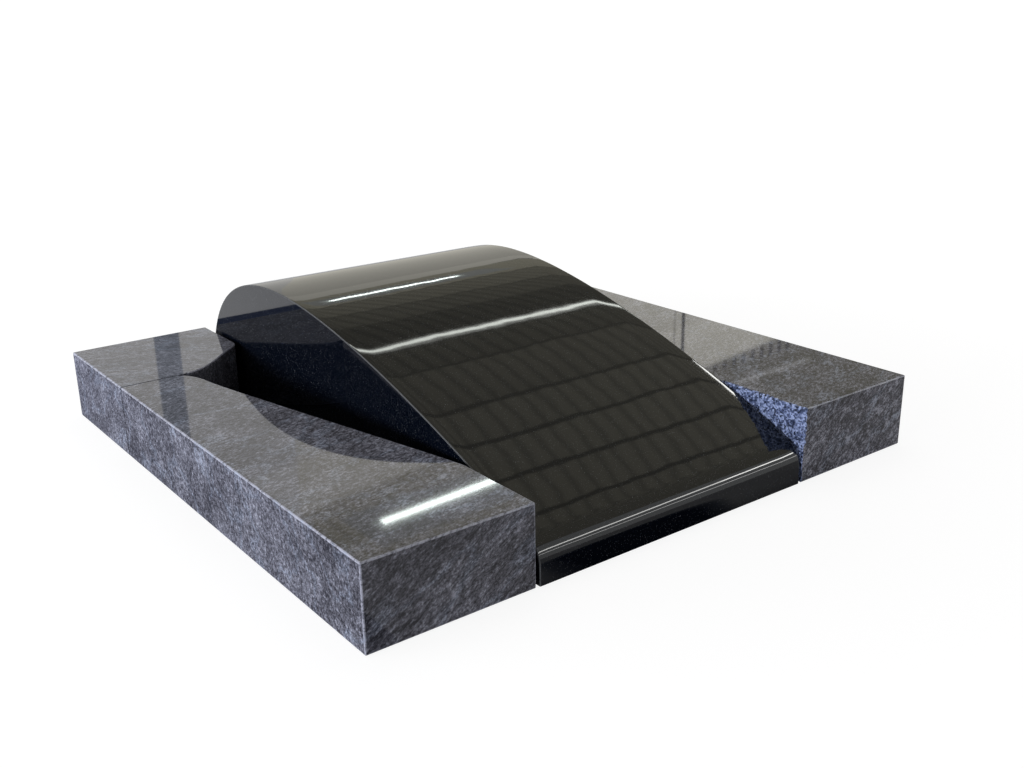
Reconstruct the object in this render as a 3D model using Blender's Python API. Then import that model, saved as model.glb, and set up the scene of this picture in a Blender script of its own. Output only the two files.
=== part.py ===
"""Urn grave monument for a plot of one metre by one metre.

A block of polished black granite, with the side view of a long low wave, lies between kerb
stones of polished blue granite. The left kerb and the stone behind it are cut to two curves
that leave a leaf-shaped pocket for plants beside the block. The right kerb is straight, and
its face towards the block is split rough.

Metres, +Z up. The origin is on the ground, in the middle of the plot. The front faces -Y.
"""

import math

import bmesh
import bpy
from mathutils import Vector, noise
from mathutils.geometry import interpolate_bezier

# Plot
FRAME_DEPTH = 1.000
KERB_HEIGHT = 0.118
KERB_WIDTH = 0.246
LEFT_GAP = 0.006
RIGHT_GAP = 0.004
ARRIS = 0.0015

# Wave block, seen from the side: distances from its front face, heights from the ground, and how
# far its back foot lies in from the back of the kerbs
BLOCK_WIDTH = 0.498
BLOCK_BACK_SETBACK = 0.010
NOSE_FACE_HEIGHT = 0.024
NOSE_DEPTH = 0.0255
NOSE_TOP_HEIGHT = 0.0645
CREST_SETBACK = 0.708
CREST_HEIGHT = 0.245
FRONT_SLOPE = 0.45

# Left kerb and corner stone: widths from the outer side, lengths along it
CORNER_DEPTH = 0.244
STONE_JOINT = 0.0015
POCKET_START = 0.148
POCKET_THROAT_WIDTH = 0.122
POCKET_TIP_WIDTH = 0.092
KERB_END_LENGTH = 0.052
CORNER_TIP_WIDTH = 0.100
CORNER_SHOULDER_WIDTH = 0.232
CORNER_SHOULDER_DEPTH = 0.091
CORNER_SIDE_START = 0.119

# Right kerb's split face: its depth from highest to lowest, and the size of its swells and lumps
SPLIT_DEPTH = 0.004
SPLIT_SWELL = 0.045
SPLIT_LUMP = 0.015
SPLIT_CELL = 0.0118

# Curve handles, as shares of the stretch that each curve spans
TOP_START_HANDLE = 0.202
TOP_CREST_HANDLE = 0.323
BACK_CREST_HANDLE = 0.503
BACK_FOOT_HANDLE = 0.790
NOSE_FACE_HANDLE = 0.55
NOSE_TOP_HANDLE = 0.40
POCKET_BEND_HANDLE = 0.035
POCKET_THROAT_HANDLE = 0.125
POCKET_THROAT_LEAN = 0.062
KERB_END_HANDLE = 0.5
CORNER_TIP_HANDLE = 0.42
CORNER_SHOULDER_RUN = 0.38
CORNER_SHOULDER_RISE = 0.46
CORNER_ROUND_RUN = 0.68
CORNER_ROUND_RISE = 0.30
CORNER_SIDE_HANDLE = 0.45

# Steps along each curve
NOSE_STEPS = 10
TOP_STEPS = 48
BACK_STEPS = 28
POCKET_STEPS = 36
KERB_END_STEPS = 14
CORNER_STEPS = 20
CORNER_ROUND_STEPS = 8

# Worked out from the sizes above
FRAME_WIDTH = KERB_WIDTH + LEFT_GAP + BLOCK_WIDTH + RIGHT_GAP + KERB_WIDTH
LEFT = -FRAME_WIDTH / 2
RIGHT = FRAME_WIDTH / 2
BLOCK_DEPTH = FRAME_DEPTH - BLOCK_BACK_SETBACK
FRONT = -FRAME_DEPTH / 2
BACK = FRAME_DEPTH / 2
JOINT_BACK_Y = BACK - CORNER_DEPTH
JOINT_FRONT_Y = JOINT_BACK_Y - STONE_JOINT
SHARP_ANGLE = math.radians(35)
GROUND_TOLERANCE = 0.0005


def clear_scene():
    """Take every object out, so that the model stands alone."""
    for thing in list(bpy.data.objects):
        bpy.data.objects.remove(thing, do_unlink=True)


def granite(name, colour, roughness):
    """Material of one stone."""
    material = bpy.data.materials.new(name)
    material.use_nodes = True
    shader = material.node_tree.nodes["Principled BSDF"]
    shader.inputs["Base Color"].default_value = (*colour, 1.0)
    shader.inputs["Roughness"].default_value = roughness
    shader.inputs["Metallic"].default_value = 0.0
    return material


def curve(start, start_handle, end_handle, end, steps):
    """Points of a Bezier curve in a plane, after its start and up to its end."""
    flat = [Vector((*point, 0.0)) for point in (start, start_handle, end_handle, end)]
    points = interpolate_bezier(flat[0], flat[1], flat[2], flat[3], steps + 1)
    return [(point.x, point.y) for point in points[1:]]


def swept(outline, along):
    """Closed solid: a flat outline moved along a straight line."""
    solid = bmesh.new()
    base = solid.faces.new([solid.verts.new(point) for point in outline])
    moved = bmesh.ops.extrude_face_region(solid, geom=[base])["geom"]
    corners = [piece for piece in moved if isinstance(piece, bmesh.types.BMVert)]
    bmesh.ops.translate(solid, vec=along, verts=corners)
    bmesh.ops.recalc_face_normals(solid, faces=solid.faces)
    return solid


def on_ground(edge):
    return all(corner.co.z < GROUND_TOLERANCE for corner in edge.verts)


def ease_edges(solid, left_alone=on_ground):
    """Cut the small arris on every sharp edge, apart from those that are left alone."""
    sharp = [
        edge for edge in solid.edges
        if edge.calc_face_angle() > SHARP_ANGLE and not left_alone(edge)
    ]
    bmesh.ops.bevel(solid, geom=sharp, offset=ARRIS, segments=1, profile=0.5, affect="EDGES")


def stone(name, solid, material):
    """Turn a finished solid into a named object with its material."""
    mesh = bpy.data.meshes.new(name)
    solid.to_mesh(mesh)
    solid.free()
    mesh.materials.append(material)
    piece = bpy.data.objects.new(name, mesh)
    bpy.context.scene.collection.objects.link(piece)
    return piece


def wave_profile():
    """Side view of the block: (distance from the front, height), from the front foot round."""
    nose_end = (NOSE_DEPTH, NOSE_TOP_HEIGHT)
    crest = (CREST_SETBACK, CREST_HEIGHT)
    foot = (BLOCK_DEPTH, 0.0)
    nose_rise = NOSE_TOP_HEIGHT - NOSE_FACE_HEIGHT
    nose_reach = NOSE_TOP_HANDLE * NOSE_DEPTH
    top_run = CREST_SETBACK - NOSE_DEPTH
    back_run = BLOCK_DEPTH - CREST_SETBACK

    points = [(0.0, 0.0), (0.0, NOSE_FACE_HEIGHT)]
    points += curve(
        points[-1],
        (0.0, NOSE_FACE_HEIGHT + NOSE_FACE_HANDLE * nose_rise),
        (NOSE_DEPTH - nose_reach, NOSE_TOP_HEIGHT - FRONT_SLOPE * nose_reach),
        nose_end,
        NOSE_STEPS,
    )
    start_reach = TOP_START_HANDLE * top_run
    points += curve(
        nose_end,
        (NOSE_DEPTH + start_reach, NOSE_TOP_HEIGHT + FRONT_SLOPE * start_reach),
        (CREST_SETBACK - TOP_CREST_HANDLE * top_run, CREST_HEIGHT),
        crest,
        TOP_STEPS,
    )
    points += curve(
        crest,
        (CREST_SETBACK + BACK_CREST_HANDLE * back_run, CREST_HEIGHT),
        (BLOCK_DEPTH, BACK_FOOT_HANDLE * CREST_HEIGHT),
        foot,
        BACK_STEPS,
    )
    return points


def make_wave_block():
    left_side = LEFT + KERB_WIDTH + LEFT_GAP
    outline = [(left_side, FRONT + run, height) for run, height in wave_profile()]
    solid = swept(outline, (BLOCK_WIDTH, 0.0, 0.0))
    ease_edges(solid)
    return stone("wave_block", solid, granite("black_granite", (0.016, 0.016, 0.015), 0.06))


def make_left_kerb():
    inner = LEFT + KERB_WIDTH
    throat = LEFT + POCKET_THROAT_WIDTH
    tip = LEFT + POCKET_TIP_WIDTH
    start = FRONT + POCKET_START
    end = JOINT_FRONT_Y - KERB_END_LENGTH
    run = end - start
    throat_reach = POCKET_THROAT_HANDLE * run
    lean = POCKET_THROAT_LEAN * (inner - throat)
    end_reach = KERB_END_HANDLE * KERB_END_LENGTH

    plan = [(LEFT, FRONT), (inner, FRONT), (inner, start)]
    plan += curve(
        plan[-1],
        (inner, start + POCKET_BEND_HANDLE * run),
        (throat + lean, end - throat_reach),
        (throat, end),
        POCKET_STEPS,
    )
    plan += curve(
        plan[-1],
        (throat - lean * end_reach / throat_reach, end + end_reach),
        (tip + KERB_END_HANDLE * (throat - tip), JOINT_FRONT_Y),
        (tip, JOINT_FRONT_Y),
        KERB_END_STEPS,
    )
    plan.append((LEFT, JOINT_FRONT_Y))
    solid = swept([(x, y, 0.0) for x, y in plan], (0.0, 0.0, KERB_HEIGHT))
    ease_edges(solid)
    return stone("left_kerb", solid, granite("blue_granite_left", (0.105, 0.110, 0.140), 0.12))


def make_corner_stone():
    side = LEFT + KERB_WIDTH
    tip = LEFT + CORNER_TIP_WIDTH
    shoulder_x = LEFT + CORNER_SHOULDER_WIDTH
    shoulder_y = JOINT_BACK_Y + CORNER_SHOULDER_DEPTH
    side_start = JOINT_BACK_Y + CORNER_SIDE_START
    spread = shoulder_x - tip
    shoulder_reach = CORNER_SHOULDER_RISE * CORNER_SHOULDER_DEPTH
    round_run = side - shoulder_x
    round_rise = side_start - shoulder_y

    plan = [(LEFT, JOINT_BACK_Y), (tip, JOINT_BACK_Y)]
    plan += curve(
        plan[-1],
        (tip + CORNER_TIP_HANDLE * spread, JOINT_BACK_Y),
        (shoulder_x - CORNER_SHOULDER_RUN * spread, shoulder_y - shoulder_reach),
        (shoulder_x, shoulder_y),
        CORNER_STEPS,
    )
    plan += curve(
        plan[-1],
        (shoulder_x + CORNER_ROUND_RUN * round_run, shoulder_y + CORNER_ROUND_RISE * round_rise),
        (side, side_start - CORNER_SIDE_HANDLE * round_rise),
        (side, side_start),
        CORNER_ROUND_STEPS,
    )
    plan += [(side, BACK), (LEFT, BACK)]
    solid = swept([(x, y, 0.0) for x, y in plan], (0.0, 0.0, KERB_HEIGHT))
    ease_edges(solid)
    return stone("corner_stone", solid, granite("blue_granite_corner", (0.110, 0.115, 0.145), 0.12))


def split_relief(y, z):
    """How far the split face lies behind its highest grain at one place, in metres."""
    swell = noise.noise(Vector((y / SPLIT_SWELL, z / SPLIT_SWELL, 0.0)))
    lump = noise.noise(Vector((y / SPLIT_LUMP, z / SPLIT_LUMP, 1.0)))
    share = 0.5 * (1.0 + swell + lump)
    return SPLIT_DEPTH * min(max(share, 0.0), 1.0)


def make_right_kerb():
    face = RIGHT - KERB_WIDTH
    columns = max(1, round(FRAME_DEPTH / SPLIT_CELL))
    rows = max(1, round(KERB_HEIGHT / SPLIT_CELL))
    solid = bmesh.new()
    grid = []
    for i in range(columns + 1):
        y = FRONT + FRAME_DEPTH * i / columns
        heights = [KERB_HEIGHT * j / rows for j in range(rows + 1)]
        grid.append([solid.verts.new((face + split_relief(y, z), y, z)) for z in heights])
    for i in range(columns):
        for j in range(rows):
            solid.faces.new((grid[i][j], grid[i][j + 1], grid[i + 1][j + 1], grid[i + 1][j]))

    front_foot = solid.verts.new((RIGHT, FRONT, 0.0))
    front_top = solid.verts.new((RIGHT, FRONT, KERB_HEIGHT))
    back_foot = solid.verts.new((RIGHT, BACK, 0.0))
    back_top = solid.verts.new((RIGHT, BACK, KERB_HEIGHT))
    solid.faces.new((front_foot, back_foot, back_top, front_top))
    solid.faces.new([*grid[0], front_top, front_foot])
    solid.faces.new([*reversed(grid[-1]), back_foot, back_top])
    solid.faces.new([*(column[-1] for column in grid), back_top, front_top])
    solid.faces.new([*(column[0] for column in reversed(grid)), front_foot, back_foot])
    bmesh.ops.recalc_face_normals(solid, faces=solid.faces)

    split_side = face + SPLIT_DEPTH + GROUND_TOLERANCE

    def rough_or_on_ground(edge):
        return on_ground(edge) or all(corner.co.x < split_side for corner in edge.verts)

    ease_edges(solid, rough_or_on_ground)
    return stone("right_kerb", solid, granite("blue_granite_right", (0.095, 0.098, 0.125), 0.12))


clear_scene()
make_wave_block()
make_left_kerb()
make_corner_stone()
make_right_kerb()
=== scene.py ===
# %% [markdown]
# # Urn grave monument
#
# A wave of polished black granite lies between kerb stones of polished blue granite, on a plot
# of one metre by one metre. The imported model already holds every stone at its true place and
# size, but its curves are coarse and its surfaces are bare.
#
# This lesson cuts each stone again with fine curves and rounded edges, gives each surface the
# finish that a stonemason would, and lights the whole as in a studio. Stone shows its polish
# only through what it mirrors, so the studio matters here as much as the stone does.

import math

import bmesh
import bpy
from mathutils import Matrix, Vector, noise
from mathutils.geometry import interpolate_bezier


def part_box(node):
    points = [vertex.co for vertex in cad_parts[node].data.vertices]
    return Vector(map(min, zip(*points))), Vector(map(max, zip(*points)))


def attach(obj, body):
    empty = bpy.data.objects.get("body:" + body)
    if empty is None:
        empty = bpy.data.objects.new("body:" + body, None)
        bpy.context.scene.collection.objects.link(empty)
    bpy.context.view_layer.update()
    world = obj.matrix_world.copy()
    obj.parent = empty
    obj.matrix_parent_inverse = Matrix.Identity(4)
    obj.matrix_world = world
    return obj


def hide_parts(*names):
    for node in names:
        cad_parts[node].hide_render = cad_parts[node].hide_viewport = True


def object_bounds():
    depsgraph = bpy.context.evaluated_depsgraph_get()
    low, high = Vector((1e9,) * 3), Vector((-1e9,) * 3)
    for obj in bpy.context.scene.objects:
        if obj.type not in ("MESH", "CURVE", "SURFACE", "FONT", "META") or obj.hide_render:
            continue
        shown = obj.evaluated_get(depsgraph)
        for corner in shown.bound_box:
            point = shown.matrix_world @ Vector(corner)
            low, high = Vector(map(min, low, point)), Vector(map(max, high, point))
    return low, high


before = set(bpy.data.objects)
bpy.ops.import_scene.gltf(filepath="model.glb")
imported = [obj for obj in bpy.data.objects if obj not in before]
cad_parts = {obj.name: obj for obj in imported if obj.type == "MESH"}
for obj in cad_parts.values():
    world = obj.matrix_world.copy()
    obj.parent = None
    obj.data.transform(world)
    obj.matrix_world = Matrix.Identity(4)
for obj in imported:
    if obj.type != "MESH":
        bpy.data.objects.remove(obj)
cad_bounds = [list(corner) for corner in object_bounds()]

MM = 0.001
block_low, block_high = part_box("wave_block")
left_low, left_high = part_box("left_kerb")
corner_low, corner_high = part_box("corner_stone")
right_low, right_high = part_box("right_kerb")

for node in sorted(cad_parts):
    low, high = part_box(node)
    print(node, "measures", [round(value, 3) for value in high - low], "metres")

# %% [markdown]
# ## The camera
#
# The photo was taken from before the front left corner, looking down a little. Where the corners
# of the stones fall in a photo gives the place, the turn and the lens of its camera. Those were
# solved once, and here they are plain values. The colours are shown as they are, without the
# softening of a film look, because black granite has to stay black.

# %% Set up the camera
CAMERA_PLACE = (-1.0268, -1.4788, 0.7025)
CAMERA_TURN = (70.897, 0.863, -37.368)
CAMERA_LENS = 39.617
SENSOR_WIDTH = 36.0

camera_data = bpy.data.cameras.new("camera")
camera_data.lens = CAMERA_LENS
camera_data.sensor_width = SENSOR_WIDTH
camera = bpy.data.objects.new("camera", camera_data)
camera.location = CAMERA_PLACE
camera.rotation_euler = [math.radians(turn) for turn in CAMERA_TURN]
bpy.context.scene.collection.objects.link(camera)
bpy.context.scene.camera = camera
bpy.context.scene.view_settings.view_transform = "Standard"
print("camera at", CAMERA_PLACE, "metres, lens", CAMERA_LENS, "mm")

# %% [markdown]
# ## Small tools for meshes
#
# Every stone here is a closed mesh. A mesh can be typed in as points and faces, or made with
# bmesh, which is Blender's workshop for building meshes in code. These helpers turn a finished
# bmesh into an object, and draw a Bezier curve as a row of points.

# %% Helpers for meshes
def make_object(name, mesh_work, materials):
    """Turn a bmesh into an object in the scene."""
    mesh = bpy.data.meshes.new(name)
    mesh_work.to_mesh(mesh)
    mesh_work.free()
    for material in materials:
        mesh.materials.append(material)
    thing = bpy.data.objects.new(name, mesh)
    bpy.context.scene.collection.objects.link(thing)
    return thing


def curve_points(start, start_handle, end_handle, end, steps):
    """Points of a flat Bezier curve, after its start and up to its end."""
    flat = [Vector((*point, 0.0)) for point in (start, start_handle, end_handle, end)]
    points = interpolate_bezier(flat[0], flat[1], flat[2], flat[3], steps + 1)
    return [Vector((point.x, point.y)) for point in points[1:]]


def quad(name, corners, material):
    """One flat face through four corners."""
    work = bmesh.new()
    work.faces.new([work.verts.new(corner) for corner in corners])
    return make_object(name, work, [material])


print("mesh helpers: make_object, curve_points and quad")

# %% [markdown]
# ## Small tools for materials
#
# A material is a graph of nodes. Writing it in code is easier with helpers: one that adds a node
# and fills in its sockets, one for arithmetic, and one that turns a value between 0 and 1 into a
# colour between several colours.

# %% Helpers for materials
def new_material(name):
    """A material with its node tree and its Principled shader."""
    material = bpy.data.materials.new(name)
    material.use_nodes = True
    tree = material.node_tree
    return material, tree, tree.nodes["Principled BSDF"]


def fill(tree, socket, value):
    """Give a socket a plain value, or link another node's output to it."""
    if isinstance(value, bpy.types.NodeSocket):
        tree.links.new(value, socket)
    else:
        socket.default_value = value


def add_node(tree, kind, settings=None, **inputs):
    """Add a node. Settings are its buttons, and inputs are its sockets by name."""
    node = tree.nodes.new(kind)
    for key, value in (settings or {}).items():
        setattr(node, key, value)
    for key, value in inputs.items():
        fill(tree, node.inputs[key.replace("_", " ")], value)
    return node


def math_node(tree, operation, first, second=0.0, third=None, clamp=False):
    """One step of arithmetic, on plain values or on other nodes' outputs."""
    node = tree.nodes.new("ShaderNodeMath")
    node.operation = operation
    node.use_clamp = clamp
    fill(tree, node.inputs[0], first)
    fill(tree, node.inputs[1], second)
    if third is not None:
        fill(tree, node.inputs[2], third)
    return node.outputs[0]


def colour_scale(tree, value, stops):
    """Colour for a value: stops are (place, colour) pairs in rising order."""
    ramp = tree.nodes.new("ShaderNodeValToRGB")
    marks = ramp.color_ramp.elements
    while len(marks) < len(stops):
        marks.new(1.0)
    for mark, (place, colour) in zip(marks, stops):
        mark.position = place
        mark.color = (*colour, 1.0)
    fill(tree, ramp.inputs[0], value)
    return ramp.outputs["Color"]


print("material helpers: new_material, fill, add_node, math_node and colour_scale")

# %% [markdown]
# ## Patterns and shine
#
# Nothing here is painted by hand or taken from a picture. Every pattern is worked out at each
# place in the stone, in three dimensions, so it also fits together around the edges, as in real
# stone. Noise gives clouds and streaks, a Voronoi pattern gives separate grains, and a round
# gradient picks out a neighbourhood. Lamps and boards of the studio need no pattern: they only
# shine.

# %% Helpers for patterns and shine
def noise_value(tree, place, scale, detail, roughness=0.55):
    """Soft noise around 0.5."""
    return add_node(
        tree, "ShaderNodeTexNoise", Vector=place, Scale=scale, Detail=detail, Roughness=roughness
    ).outputs["Fac"]


def random_cells(tree, place, cells):
    """Cells packed side by side: their pattern, and three random numbers for each of them."""
    pattern = add_node(tree, "ShaderNodeTexVoronoi", Vector=place, Scale=cells)
    numbers = tree.nodes.new("ShaderNodeSeparateColor")
    tree.links.new(pattern.outputs["Color"], numbers.inputs[0])
    return pattern, numbers.outputs


def nearness(tree, middle, reach, kind="SPHERICAL"):
    """1 at a place, falling to 0 at its reach along each axis."""
    place = tree.nodes.new("ShaderNodeTexCoord").outputs["Object"]
    around = add_node(
        tree, "ShaderNodeMapping", Vector=place,
        Location=[-centre / extent for centre, extent in zip(middle, reach)],
        Scale=[1 / extent for extent in reach],
    )
    return add_node(
        tree, "ShaderNodeTexGradient", {"gradient_type": kind}, Vector=around.outputs[0]
    ).outputs["Fac"]


def bare_material(name):
    """A material with an empty node tree."""
    material = bpy.data.materials.new(name)
    material.use_nodes = True
    material.node_tree.nodes.clear()
    return material, material.node_tree


def only_shine(tree, colour, strength):
    """Let the material of an empty tree shine, and do nothing else."""
    shine = add_node(tree, "ShaderNodeEmission", Color=(*colour, 1.0), Strength=strength)
    out = tree.nodes.new("ShaderNodeOutputMaterial")
    tree.links.new(shine.outputs[0], out.inputs["Surface"])


def glow(name, colour, strength):
    """A surface that shines evenly."""
    material, tree = bare_material(name)
    only_shine(tree, colour, strength)
    return material


print("pattern helpers: noise_value, random_cells, nearness and glow")

# %% [markdown]
# ## Who sees what in the studio
#
# A board in a real studio does three things at once: it lights the stones, it shows in their
# polish, and it may stand in the picture. In Blender each object has switches for these, under
# Ray Visibility. So what the camera sees, what the mirrors see and what gives the light are set
# apart here, which makes it far easier to match a photo.

# %% Helpers for the studio
def only_seen(thing):
    """Leave a thing to the camera: it gives no light, mirror image or shadow."""
    thing.visible_diffuse = False
    thing.visible_glossy = False
    thing.visible_transmission = False
    thing.visible_shadow = False
    thing.visible_volume_scatter = False


def only_mirrored(thing):
    """Leave a thing to the mirrors: it is seen in polished stone alone."""
    thing.visible_camera = False
    thing.visible_diffuse = False
    thing.visible_transmission = False
    thing.visible_shadow = False
    thing.visible_volume_scatter = False


def matt_material(name, colour, shine=0.0):
    """Plain matt material that may shine a little by itself."""
    material, _, shader = new_material(name)
    shader.inputs["Base Color"].default_value = (*colour, 1.0)
    shader.inputs["Roughness"].default_value = 0.9
    shader.inputs["Specular IOR Level"].default_value = 0.0
    shader.inputs["Emission Color"].default_value = (1.0, 1.0, 1.0, 1.0)
    shader.inputs["Emission Strength"].default_value = shine
    return material


def ground_sheet(name, low, high, drop, material):
    """Level sheet between two corners, a little below the ground line."""
    sheet = quad(
        name,
        [
            (low[0], low[1], -drop), (high[0], low[1], -drop),
            (high[0], high[1], -drop), (low[0], high[1], -drop),
        ],
        material,
    )
    return sheet


print("studio helpers: only_seen, only_mirrored, matt_material and ground_sheet")

# %% [markdown]
# ## The floor and the backdrop
#
# The stones stand on a plain pale ground that runs up into a pale backdrop without a line. A
# room would show its corners, so the floor is a round sheet that bends up at its rim and closes
# into a dome. Only the camera sees it. It shines by itself, so that it comes out nearly white.
# Around the stones it shines a little less, and there its grey takes the light of the studio and
# the soft shadows of the stones.

# %% Bend the backdrop
FLOOR_REACH = 7.0
FLOOR_RING_SHARES = (0.15, 0.4, 0.75)
BEND_REACH = 3.0
BEND_HEIGHT = 6.0
BEND_STEPS = 24
DOME_RINGS = [(8.0, 9.0), (5.0, 11.0), (2.0, 12.0)]
DOME_TOP = 12.2
ROUND_STEPS = 64


def backdrop_rings():
    """(radius, height) of each ring, from the floor's middle to the top of the dome."""
    rings = [(FLOOR_REACH * share, 0.0) for share in FLOOR_RING_SHARES]
    for step in range(BEND_STEPS + 1):
        angle = math.pi / 2 * step / BEND_STEPS
        outward = FLOOR_REACH + BEND_REACH * math.sin(angle)
        rings.append((outward, BEND_HEIGHT * (1 - math.cos(angle))))
    return rings + DOME_RINGS


def backdrop_bowl():
    """Round floor that rises at its rim into a dome."""
    work = bmesh.new()
    centre = work.verts.new((0.0, 0.0, 0.0))
    previous = None
    for radius, height in backdrop_rings():
        ring = []
        for step in range(ROUND_STEPS):
            angle = 2 * math.pi * step / ROUND_STEPS
            place = (radius * math.cos(angle), radius * math.sin(angle), height)
            ring.append(work.verts.new(place))
        for step in range(ROUND_STEPS):
            following = (step + 1) % ROUND_STEPS
            if previous is None:
                work.faces.new((centre, ring[step], ring[following]))
            else:
                work.faces.new((previous[step], ring[step], ring[following], previous[following]))
        previous = ring
    top = work.verts.new((0.0, 0.0, DOME_TOP))
    for step in range(ROUND_STEPS):
        work.faces.new((previous[step], top, previous[(step + 1) % ROUND_STEPS]))
    for face in work.faces:
        face.smooth = True
    return work


print("backdrop of", len(backdrop_rings()), "rings, open floor to", FLOOR_REACH, "metres out")

# %% Cover it with pale paper
PAPER_GREY = 0.20
PAPER_GLOW = 1.0
PAPER_DIM = 0.16
DIM_REACH = 2.6
PAPER_DROP = 1.0 * MM

pale_paper, tree, shader = new_material("pale_paper")
shader.inputs["Base Color"].default_value = (PAPER_GREY, PAPER_GREY, PAPER_GREY, 1.0)
shader.inputs["Roughness"].default_value = 1.0
shader.inputs["Specular IOR Level"].default_value = 0.0
shader.inputs["Emission Color"].default_value = (1.0, 1.0, 1.0, 1.0)
dim_place = nearness(tree, (0.0, 0.0, 0.0), (DIM_REACH, DIM_REACH, DIM_REACH))
shine = math_node(tree, "MULTIPLY_ADD", dim_place, -PAPER_DIM, PAPER_GLOW)
tree.links.new(shine, shader.inputs["Emission Strength"])

seen_floor = make_object("studio_floor_and_backdrop", backdrop_bowl(), [pale_paper])
seen_floor.location.z = -PAPER_DROP
only_seen(seen_floor)
print("paper shines", PAPER_GLOW, "far out and", round(PAPER_GLOW - PAPER_DIM, 2), "at the stones")

# %% [markdown]
# ## The ground that the stones see
#
# Paper that white would also throw its light up into the stones and wash them out, as a snow field
# does. So the stones see other ground, just below the paper and hidden from the camera, in their
# light and in their mirrors. It differs by side, because the black side of the block mirrors the
# ground behind it: pale far back, and dark close by. Under the stones lies a dark sheet, a painted
# shade, which is what shows at the bottom of the shaded planting pocket.

# %% Lay the bed and the ground
BED_DROP = 0.4 * MM
BED_INSET = 15 * MM
BED_SHADE_COLOUR = (0.020, 0.021, 0.024)
GROUND_DROP = 2.0 * MM
GROUND_REACH = 8.0
EDGE_BEHIND = 0.95
EDGE_LEFT = -0.45

plot_low, plot_high = cad_bounds
bed_low = (plot_low[0] + BED_INSET, plot_low[1] + BED_INSET)
bed_high = (plot_high[0] - BED_INSET, plot_high[1] - BED_INSET)
# Painted shade: this dark sheet stands for the shadow at the bottom of the planting pocket
ground_sheet("studio_shade_bed", bed_low, bed_high, BED_DROP, matt_material("painted_shade_bed", BED_SHADE_COLOUR))

# Each piece of ground: its side, its two corners, its colour and how much it shines by itself
GROUND_PIECES = [
    ("front", (EDGE_LEFT, -GROUND_REACH), (GROUND_REACH, EDGE_BEHIND), (0.60, 0.60, 0.60), 0.0),
    ("left", (-GROUND_REACH, -GROUND_REACH), (EDGE_LEFT, EDGE_BEHIND), (0.050, 0.062, 0.105), 0.0),
    (
        "behind", (-GROUND_REACH, EDGE_BEHIND), (GROUND_REACH, GROUND_REACH),
        (0.75, 0.76, 0.78), 0.30,
    ),
]
for side, low, high, colour, shine in GROUND_PIECES:
    material = matt_material(f"ground_{side}", colour, shine)
    sheet = ground_sheet(f"studio_ground_{side}", low, high, GROUND_DROP, material)
    sheet.visible_camera = False
print("a bed and", len(GROUND_PIECES), "pieces of ground, out to", GROUND_REACH, "metres")

# %% Darken the ground close to the plot
CLOSE_DROP = 1.5 * MM
CORNER_GROUND_COLOUR = (0.085, 0.10, 0.165)
CORNER_GROUND_OVERLAP = 0.2
NOSE_GROUND_REACH = 0.35
NOSE_GROUND_OVERLAP = 0.05
DARK_MIDDLE = (-0.05, -0.54, 0.0)
DARK_REACH = (0.20, 0.12, 1.0)
NOSE_GROUND_TONES = [
    (0.06, (0.55, 0.55, 0.55)), (0.22, (0.16, 0.17, 0.19)), (0.40, (0.020, 0.022, 0.030)),
]

# Behind the corner stone the ground is neither dark nor pale
corner_low_end = (-GROUND_REACH, plot_high[1])
corner_high_end = (EDGE_LEFT + CORNER_GROUND_OVERLAP, EDGE_BEHIND)
corner_ground = ground_sheet(
    "studio_ground_strip", corner_low_end, corner_high_end, CLOSE_DROP,
    matt_material("ground_strip", CORNER_GROUND_COLOUR),
)
corner_ground.visible_camera = False

# Close in front of the nose it is darkest, and turns paler to both sides, so a pattern takes the
# place of its plain colour
nose_material = matt_material("ground_near", NOSE_GROUND_TONES[0][1])
tree = nose_material.node_tree
colour = colour_scale(tree, nearness(tree, DARK_MIDDLE, DARK_REACH), NOSE_GROUND_TONES)
tree.links.new(colour, tree.nodes["Principled BSDF"].inputs["Base Color"])
nose_low_end = (EDGE_LEFT, plot_low[1] - NOSE_GROUND_REACH)
nose_high_end = (plot_high[0], plot_low[1] + NOSE_GROUND_OVERLAP)
nose_ground = ground_sheet(
    "studio_ground_near", nose_low_end, nose_high_end, CLOSE_DROP, nose_material
)
nose_ground.visible_camera = False
print("the darkest ground lies at", DARK_MIDDLE[:2])

# %% [markdown]
# ## What the polish mirrors
#
# Polished granite works like a dark mirror: the long top of the block shows what hangs above and
# behind it. In the photo that is a dim ceiling with narrow dark ribs, a pale wall far behind with
# a post, a seam and a row of bars, one short bright tube and one long strip light. Sheets that
# shine, and that only the mirrors see, give the same picture without lighting the room. Their
# heights and places were worked out by following the lines of sight from the camera over the
# stones to the ceiling and the wall.
#
# The ceiling comes first. It is a row of shining fields with narrow gaps between them, and a
# darker sheet just above shows through the gaps as ribs. The one wide gap is for the strip light.

# %% Measure out the ceiling
# Lengths are in metres, and a glow of 1 is as bright as white paper
CEILING_HEIGHT = 3.5
CEILING_LEFT = -6.0
CEILING_RIGHT = 14.0
RIB_WIDTH = 0.048
RIB_GLOW = 0.19
RIB_LIFT = 0.02
CEILING_TINT = (1.0, 0.955, 0.76)

# Each field between two ribs: where it starts and ends, and how bright it is
FIRST_RIB = 0.26
FRONT_LENGTH = 0.45
FRONT_FIELDS = 10
FRONT_GLOW = 0.42
CEILING_FIELDS = [
    (FIRST_RIB - FRONT_LENGTH * (number + 1), FIRST_RIB - FRONT_LENGTH * number, FRONT_GLOW)
    for number in reversed(range(FRONT_FIELDS))
]
CEILING_FIELDS += [
    (FIRST_RIB, 0.71, 0.42),
    (0.71, 1.15, 0.41),
    (1.15, 1.60, 0.375),
    (1.60, 2.28, 0.32),
    (2.28, 2.78, 0.25),
    (2.98, 3.66, 0.18),
    (3.66, 4.30, 0.25),
    (4.30, 5.10, 0.34),
    (5.10, 6.60, 0.54),
]
print("ceiling from", CEILING_FIELDS[0][0], "to", CEILING_FIELDS[-1][1], "metres along the plot")

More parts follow.
